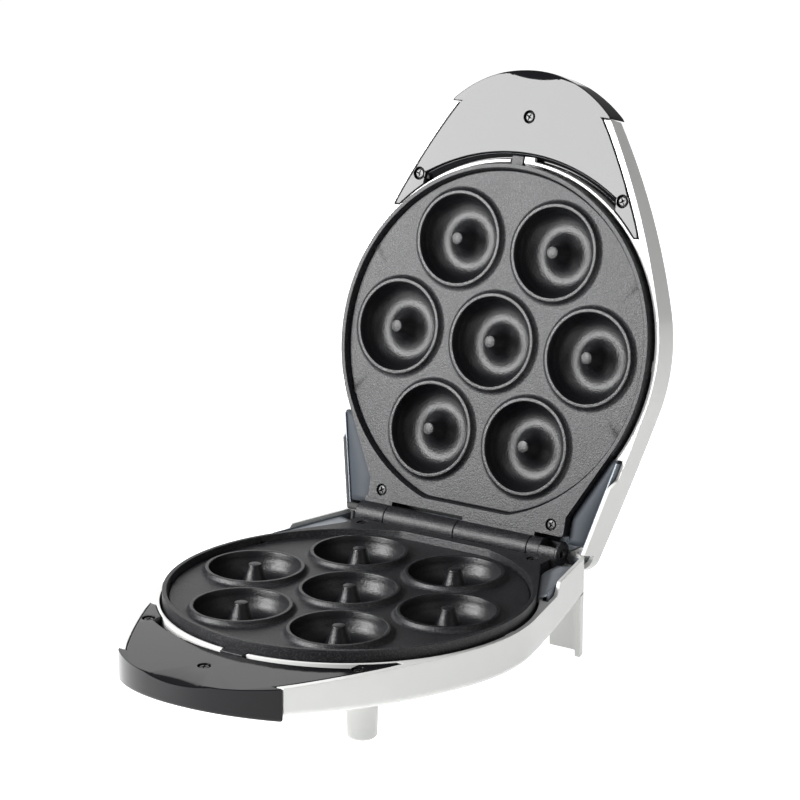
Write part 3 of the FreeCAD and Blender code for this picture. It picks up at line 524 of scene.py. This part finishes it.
def fill(bm, *loops):
    """A flat face inside the first loop, with the others as holes."""
    edges = [edge for loop in loops for edge in loop]
    made = bmesh.ops.triangle_fill(bm, use_beauty=True, use_dissolve=False, edges=edges)["geom"]
    return [item for item in made if isinstance(item, bmesh.types.BMFace)]


def drop(bm, edges, depth):
    """Walls down from a loop of edges. Returns the loop at their foot."""
    made = bmesh.ops.extrude_edge_only(bm, edges=edges)["geom"]
    verts = [item for item in made if isinstance(item, bmesh.types.BMVert)]
    bmesh.ops.translate(bm, verts=verts, vec=(0, 0, -depth))
    return [item for item in made if isinstance(item, bmesh.types.BMEdge)
            and all(v in verts for v in item.verts)]


def soften(bm, edges, radius, segments=3):
    bmesh.ops.bevel(bm, geom=edges, offset=radius, offset_type="OFFSET", affect="EDGES",
                    segments=segments, profile=0.5, material=-1, clamp_overlap=True)


# %% [markdown]
# ## The cooking plate
#
# The casting has a narrow rim, a shallow tray, and seven wells set in a
# hexagon. The tray is one flat fill with holes for the wells. A well is a
# turned shape, so its section is drawn once and spun about the well's centre:
# a soft foot, a raised lip, a bowl, and the flared post that makes the ring's hole.
# The whole is a skin, and a Solidify modifier gives it the casting's wall.

# %% Sizes of the plate, in millimetres
PLATE_R = 92.2
PLATE_TOP = -0.5
TRAY_R = 90.0
TRAY_REAR_Y = 86.3
TRAY_FLOOR = -4.0
TRAY_DRAFT = 0.7
PLATE_SKIRT = 11.5
PLATE_WALL = 2.2
EAR_X = 60.2
EAR_Y = 91.8
EAR_CORNER = 1.6
EAR_TANGENT_DEG = 29.0
EAR_SCREWS = [(52.2, 86.6), (-52.2, 86.6)]
SCREW_WELL_R = 3.15
SCREW_WELL_DEPTH = 2.4
PITCH = 58.0
WELL_FOOT_R = 28.4
WELL_STEPS = 72
WELL_POLISH_R = 25.2             # the polish ends at this radius
RIM_ROUND = 0.45
TRAY_EDGE_ROUND = 0.4
TRAY_FOOT_ROUND = 1.1
WELLS = [(0.0, 0.0)] + [
    (PITCH * math.cos(math.radians(60 * i)), PITCH * math.sin(math.radians(60 * i)))
    for i in range(6)
]
print(len(WELLS), "wells")


# %% The plate's outline, with its two ears
def plate_outline():
    a = math.radians(EAR_TANGENT_DEG)
    touch = (PLATE_R * math.cos(a), PLATE_R * math.sin(a))
    ear_foot = (EAR_X, (PLATE_R - EAR_X * math.cos(a)) / math.sin(a))
    cut = EAR_CORNER * (1 - math.sqrt(0.5))
    corner = (EAR_X - cut, EAR_Y - cut)
    ear = arc((EAR_X, EAR_Y - EAR_CORNER), corner, (EAR_X - EAR_CORNER, EAR_Y), 4)
    rear = [ear_foot] + ear
    rounds = arc((-touch[0], touch[1]), (0, -PLATE_R), touch, 120)
    return rounds + rear + mirrored_x(rear)


def tray_outline(inset):
    radius, rear_y = TRAY_R - inset, TRAY_REAR_Y - inset
    end = math.sqrt(radius ** 2 - rear_y ** 2)
    return arc((-end, rear_y), (0, -radius), (end, rear_y), 160)


# %% The section of a well, from its foot to the top of its post
def well_section():
    foot = arc((WELL_FOOT_R, TRAY_FLOOR), (26.5, -3.6), (25.7, -2.6), 5)
    step = arc((25.35, -1.75), (25.15, -1.4), (24.75, -1.3), 3)
    lip = arc((23.75, -1.25), (23.35, -1.4), (23.15, -1.8), 3)
    shoulder = arc((22.7, -3.4), (22.4, -4.9), (21.7, -6.6), 5)
    bowl = arc((21.2, -7.9), (18.6, -11.3), (13.4, -13.0), 12)
    flare = arc((13.4, -13.0), (8.7, -11.5), (5.9, -7.8), 12)
    tip = arc((3.5, -1.1), (3.3, -0.45), (2.9, -0.2), 4)
    return foot + step + lip + shoulder + bowl + flare[1:] + [(4.6, -4.4)] + tip + [(0, -0.2)]


def spin_well(bm, x, y):
    verts = [bm.verts.new((x + r, y, z)) for r, z in well_section()]
    edges = [bm.edges.new(pair) for pair in zip(verts, verts[1:])]
    bmesh.ops.spin(bm, geom=verts + edges, cent=(x, y, 0), axis=(0, 0, 1), angle=math.tau,
                   steps=WELL_STEPS, use_merge=True, use_duplicate=False)


# %% Build a plate
def plate(half):
    bm = bmesh.new()
    rim = ring_of(bm, plate_outline(), PLATE_TOP)
    tray_top = ring_of(bm, tray_outline(0), PLATE_TOP)
    tray_foot = ring_of(bm, tray_outline(TRAY_DRAFT), TRAY_FLOOR)
    seats = [ring_of(bm, circle(x, y, SCREW_WELL_R, 32), PLATE_TOP) for x, y in EAR_SCREWS]
    mouths = [ring_of(bm, circle(x, y, WELL_FOOT_R, WELL_STEPS), TRAY_FLOOR) for x, y in WELLS]
    fill(bm, rim, tray_top, *seats)
    fill(bm, tray_foot, *mouths)
    bmesh.ops.bridge_loops(bm, edges=tray_top + tray_foot)
    drop(bm, rim, PLATE_SKIRT)
    for seat_edge in seats:
        fill(bm, drop(bm, seat_edge, SCREW_WELL_DEPTH))
    soften(bm, rim + seats[0] + seats[1], RIM_ROUND)
    soften(bm, [e for e in tray_top if e.is_valid], TRAY_EDGE_ROUND)
    soften(bm, [e for e in tray_foot if e.is_valid], TRAY_FOOT_ROUND, segments=4)
    for x, y in WELLS:
        spin_well(bm, x, y)
    bmesh.ops.remove_doubles(bm, verts=bm.verts, dist=0.01)
    bmesh.ops.recalc_face_normals(bm, faces=bm.faces)
    well = bm.verts.layers.float.new("well")
    for vert in bm.verts:
        reach = min(math.hypot(vert.co.x - x, vert.co.y - y) for x, y in WELLS)
        vert[well] = 1.0 if reach < WELL_POLISH_R else 0.0
    piece = seat(bm, half + "_plate_casting", half, "non_stick", half + "_plate")
    wall = piece.modifiers.new("casting wall", "SOLIDIFY")
    wall.thickness = PLATE_WALL * MM
    wall.offset = -1
    even_shading(piece)
    return piece


for half in PLACE:
    plate(half)

# %% [markdown]
# ## Hinge knuckles
#
# The barrel is cast with the plates. Base and lid take turns along it, so each
# knuckle is a bar whose section is a round barrel with a web back to its own
# plate. Its two ends are softened, which draws the thin line between
# neighbours. On the right the base ends in a cradle that is open on top.

# %% Sizes of the hinge
HINGE_R = 6.3
BORE_R = 2.6
WEB_ROOT_Y = 90.6
WEB_TOP = -0.95
END_SOFT = 0.45
CRADLE_HALF = 4.7
CRADLE_FLOOR = -4.7
KNUCKLES = {
    "lower": [(-44.35, -1.15), (43.65, 51.0)],
    "upper": [(-62.0, -44.65), (-0.85, 43.35)],
}
CRADLE = (51.0, 60.4, 62.0)


# %% A bar along X, from its section in Y and Z
ALONG_X = Matrix(((0, 0, 1, 0), (1, 0, 0, 0), (0, 1, 0, 0), (0, 0, 0, 1)))


def bar_x(whole, x0, x1, outline, *holes):
    bm = bmesh.new()
    faces = fill(bm, *[ring_of(bm, points, x0) for points in (outline, *holes)])
    made = bmesh.ops.extrude_face_region(bm, geom=faces)["geom"]
    far_end = [v for v in made if isinstance(v, bmesh.types.BMVert)]
    bmesh.ops.translate(bm, verts=far_end, vec=(0, 0, x1 - x0))
    bmesh.ops.recalc_face_normals(bm, faces=bm.faces)
    ends = [e for e in bm.edges
            if e.calc_face_angle(0) > 1 and abs(e.verts[0].co.z - e.verts[1].co.z) < 0.01]
    soften(bm, ends, END_SOFT, segments=2)
    bm.transform(ALONG_X)
    scratch = bpy.data.meshes.new("scratch")
    bm.to_mesh(scratch)
    bm.free()
    whole.from_mesh(scratch)
    bpy.data.meshes.remove(scratch)


def barrel_section():
    foot = math.sqrt(HINGE_R ** 2 - WEB_TOP ** 2)
    start = (HINGE_Y - foot, WEB_TOP)
    around = arc(start, (HINGE_Y, HINGE_R), (HINGE_Y + HINGE_R, 0), 28)
    low = HINGE_R * math.sqrt(0.5)
    under = arc((HINGE_Y + HINGE_R, 0), (HINGE_Y + low, -low), (HINGE_Y, -HINGE_R), 14)
    return [(WEB_ROOT_Y, -HINGE_R), (WEB_ROOT_Y, WEB_TOP)] + around + under[1:]


def cradle_section():
    rim = math.sqrt(HINGE_R ** 2 - CRADLE_HALF ** 2)
    foot = math.sqrt(HINGE_R ** 2 - WEB_TOP ** 2)
    front = arc((HINGE_Y - foot, WEB_TOP), (HINGE_Y - 5.6, 2.886), (HINGE_Y - CRADLE_HALF, rim), 6)
    rear = arc((HINGE_Y + CRADLE_HALF, rim), (HINGE_Y + HINGE_R, 0), (HINGE_Y, -HINGE_R), 22)
    slot = [(HINGE_Y - CRADLE_HALF, CRADLE_FLOOR), (HINGE_Y + CRADLE_HALF, CRADLE_FLOOR)]
    return [(WEB_ROOT_Y, -HINGE_R), (WEB_ROOT_Y, WEB_TOP)] + front + slot + rear


# %% Cast the knuckles
def knuckles(half):
    bm = bmesh.new()
    bore = circle(HINGE_Y, 0, BORE_R, 24)
    for x0, x1 in KNUCKLES[half]:
        bar_x(bm, x0, x1, barrel_section(), bore)
    if half == "lower":
        start, wall, end = CRADLE
        bar_x(bm, start, wall, cradle_section())
        bar_x(bm, wall, end, barrel_section(), bore)
    return seat(bm, half + "_hinge_knuckles", half, "non_stick", half + "_plate")


for half in PLACE:
    even_shading(knuckles(half))

# %% [markdown]
# ## The front lug
#
# A small tongue at the front of each plate fills a gap in the white ring. The
# lid's is cut short, beside a white block of the shell.

# %% Lugs
LUG_FRONT_Y = -97.0
LUG_BACK_Y = -90.4
LUG_SPAN = {"lower": (-6.6, 6.6), "upper": (-6.6, 0.4)}
LUG_TOP = -6.0
LUG_FOOT = -8.6
LUG_ROUND = 0.4


def lug(half):
    x0, x1 = LUG_SPAN[half]
    bm = bmesh.new()
    corners = [(x0, LUG_FRONT_Y), (x1, LUG_FRONT_Y), (x1, LUG_BACK_Y), (x0, LUG_BACK_Y)]
    top = ring_of(bm, corners, LUG_TOP)
    fill(bm, top)
    fill(bm, drop(bm, top, LUG_TOP - LUG_FOOT))
    bmesh.ops.recalc_face_normals(bm, faces=bm.faces)
    soften(bm, list(bm.edges), LUG_ROUND)
    return seat(bm, half + "_front_lug", half, "non_stick", half + "_plate")


for half in PLACE:
    even_shading(lug(half))

# %% [markdown]
# ## Moulded edges
#
# A shell or a handle comes out of its tool with small rounds on every edge,
# and those rounds catch the light as thin bright lines. The CAD solid has the
# right shape but knife edges. So its mesh is copied, taken back to its drawing
# in millimetres, its flat triangles are joined into faces, and its sharp edges
# are rounded.

# %% Copy a node's mesh into its drawing
def copy_of(node, half):
    bm = bmesh.new()
    bm.from_mesh(nodes[node].data)
    bm.transform(PLACE[half].inverted())
    if half == "upper":
        bmesh.ops.reverse_faces(bm, faces=bm.faces)
    bmesh.ops.remove_doubles(bm, verts=bm.verts, dist=0.03)
    bmesh.ops.dissolve_degenerate(bm, edges=bm.edges, dist=0.02)
    return bm


# %% Round the copy's edges
SHARP = math.radians(38)
FLAT = math.radians(0.6)


def is_sharp(edge, radius, above):
    """True for a sharp edge that lies above a level and is long enough to round."""
    return (edge.is_manifold and edge.calc_face_angle(0) > SHARP
            and edge.calc_length() > radius * 0.6 and min(v.co.z for v in edge.verts) > above)


def moulded(node, half, name, slot, radius, above, join=True):
    bm = copy_of(node, half)
    if join:
        bmesh.ops.dissolve_limit(bm, angle_limit=FLAT, verts=bm.verts, edges=bm.edges)
    sharp = [edge for edge in bm.edges if is_sharp(edge, radius, above)]
    bmesh.ops.bevel(bm, geom=sharp, offset=radius, offset_type="OFFSET", affect="EDGES", segments=2,
                    profile=0.5, material=-1, clamp_overlap=False, loop_slide=False)
    piece = seat(bm, name, half, slot, node)
    even_shading(piece)
    return piece


# %% The handle covers and the shells
COVER_R = 0.5
COVER_ABOVE = -14.0
SHELL_R = 0.45
SHELL_ABOVE = -9.0
for half in PLACE:
    moulded(half + "_handle", half, half + "_handle_cover", "black_plastic",
            COVER_R, COVER_ABOVE, join=False)
    moulded(half + "_housing", half, half + "_shell", "white_plastic", SHELL_R, SHELL_ABOVE)


# %% [markdown]
# ## Ledges beside the hinge
#
# Behind the white deck, slate-grey sheet fills the corner between the plate's
# ear and the cheek: the turned-over edge of the heat shield. It slopes down
# from the cheek to the plate. Both its edges are straight lines on the plan,
# so each is worked out from the line it follows, at a list of places along Y.
# The base's sheets are painted lighter than the shield's own steel: painted light, for
# where they are lit from above. The lid's sheets face the key light, so their colour is
# painted nearly black and they are made duller: painted shade, so that they stay dark.

# %% The sheet beside each ear
CHEEK_LINE = (14.0, 93.1)       # lean in degrees, and distance of the cheek's inner face
EAR_LINE = (29.0, 93.0)         # the same for the plate's side, with its gap
EAR_SIDE_X = 61.2
LEDGE_YS = (48.7, 52, 56, 60, 64, 68, 72, 76, 80, 84, 88, 92, 95)
LEDGE_TOP = -3.6
LEDGE_FOOT = -5.7
LEDGE_SKIRT = 4.0
LEDGE_FOLD_R = 1.0
SHEET_T = 0.7


def on_line(line, y):
    lean, distance = math.radians(line[0]), line[1]
    return (distance - y * math.sin(lean)) / math.cos(lean)


def ledge(half, side):
    bm = bmesh.new()
    outer = [(on_line(CHEEK_LINE, y), y) for y in LEDGE_YS]
    inner = [(max(on_line(EAR_LINE, y), EAR_SIDE_X), y) for y in LEDGE_YS]
    rows = []
    for points, z in ((outer, LEDGE_TOP), (inner, LEDGE_FOOT), (inner, LEDGE_FOOT - LEDGE_SKIRT)):
        verts = [bm.verts.new((side * x, y, z)) for x, y in points]
        rows.append([bm.edges.new(pair) for pair in zip(verts, verts[1:])])
    for high, low in zip(rows, rows[1:]):
        bmesh.ops.bridge_loops(bm, edges=high + low)
    soften(bm, rows[1], LEDGE_FOLD_R)
    bmesh.ops.recalc_face_normals(bm, faces=bm.faces)
    name = half + "_ledge_" + ("right" if side > 0 else "left")
    piece = seat(bm, name, half, "shield_steel", crease=50)
    sheet_wall = piece.modifiers.new("sheet", "SOLIDIFY")
    sheet_wall.thickness = SHEET_T * MM
    return piece


# %% The four ledges
# Two copies of one heat-shield sheet: the base's is lightened as painted light, the lid's is nearly black as
# painted shade.
LEDGE_PAINTED_LIGHT_AND_SHADE = {
    "lower": steel("base ledge sheet lightened with painted light", (0.36, 0.38, 0.41), 0.42, 6, metallic=0.4),
    "upper": steel("lid ledge sheet darkened with painted shade", (0.026, 0.033, 0.043), 0.66, 6, metallic=0.0),
}
for half in PLACE:
    for side in (1, -1):
        ledge(half, side).data.materials[0] = LEDGE_PAINTED_LIGHT_AND_SHADE[half]

# %% [markdown]
# ## The trough behind the bowl
#
# Between each cover and the bowl ring runs a narrow black trough. Its floor
# is curved, so it never mirrors the same light as the level cover, and it
# stays black beside it. Two arcs on the plan bound it.

# %% A curved floor for the trough
TROUGH_OUT = (108.1, 9.6)       # radius of the outer arc and its centre along Y
TROUGH_IN = (95.7, 0.0)
TROUGH_HALF = 57.6
TROUGH_STEPS = 48
TROUGH_SECTION = [(0.0, -7.2), (0.2, -9.4), (0.5, -11.2), (0.8, -12.0), (1.0, -12.2)]
TROUGH_WALL = 0.5


def on_arc(circle_on_plan, x):
    radius, centre_y = circle_on_plan
    return centre_y - math.sqrt(radius ** 2 - x ** 2)


def trough(half):
    bm = bmesh.new()
    xs = [TROUGH_HALF * (2 * i / TROUGH_STEPS - 1) for i in range(TROUGH_STEPS + 1)]
    rows = []
    for share, z in TROUGH_SECTION:
        line = []
        for x in xs:
            out_y, in_y = on_arc(TROUGH_OUT, x), on_arc(TROUGH_IN, x)
            line.append(bm.verts.new((x, out_y + (in_y - out_y) * share, z)))
        rows.append([bm.edges.new(pair) for pair in zip(line, line[1:])])
    for high, low in zip(rows, rows[1:]):
        bmesh.ops.bridge_loops(bm, edges=high + low)
    bmesh.ops.recalc_face_normals(bm, faces=bm.faces)
    piece = seat(bm, half + "_trough", half, "black_plastic", crease=60)
    floor_wall = piece.modifiers.new("wall", "SOLIDIFY")
    floor_wall.thickness = TROUGH_WALL * MM
    return piece


for half in PLACE:
    trough(half)

# %% [markdown]
# ## Cross-head screws
#
# Each head is a disc sunk in its hole, with a deep cross pressed into it. The
# head takes the light and the cross stays black. Each cross is turned by a
# different angle, as nobody lines screws up. All screws of a kind are one
# piece.

# %% Sizes of a screw
HEAD_R = 2.5
HEAD_ROUND = 0.55
HEAD_SINK = 0.5
HEAD_T = 1.9
CROSS_L = 1.85
CROSS_W = 0.5
CROSS_TIP = 0.26
CROSS_DEPTH = 1.5
FIRST_TURN = 24
NEXT_TURN = 37
COVER_TOP = -6.0
COVER_SCREWS = [(0.0, -117.5), (61.75, -81.0), (-61.75, -81.0)]


# %% Draw the screws of one kind
def screws(half, kind, places, top):
    bm = bmesh.new()
    t, w, r = CROSS_TIP, CROSS_W, CROSS_L
    cross = [(r, -t), (r, t), (w, w), (t, r), (-t, r), (-w, w),
             (-r, t), (-r, -t), (-w, -w), (-t, -r), (t, -r), (w, -w)]
    z = top - HEAD_SINK
    for number, (x, y) in enumerate(places):
        turn = Matrix.Rotation(math.radians(FIRST_TURN + NEXT_TURN * number), 2)
        pressed = [(turn @ Vector(point)) + Vector((x, y)) for point in cross]
        rim = ring_of(bm, circle(x, y, HEAD_R, 40), z)
        mark = ring_of(bm, pressed, z)
        fill(bm, rim, mark)
        fill(bm, drop(bm, mark, CROSS_DEPTH))
        fill(bm, drop(bm, rim, HEAD_T))
        soften(bm, rim, HEAD_ROUND)
    bmesh.ops.recalc_face_normals(bm, faces=bm.faces)
    screws_node = half + "_" + kind + "_screws"
    return seat(bm, half + "_" + kind + "_screw_heads", half, "steel", screws_node)


for half in PLACE:
    even_shading(screws(half, "handle", COVER_SCREWS, COVER_TOP))
    even_shading(screws(half, "plate", EAR_SCREWS, PLATE_TOP))
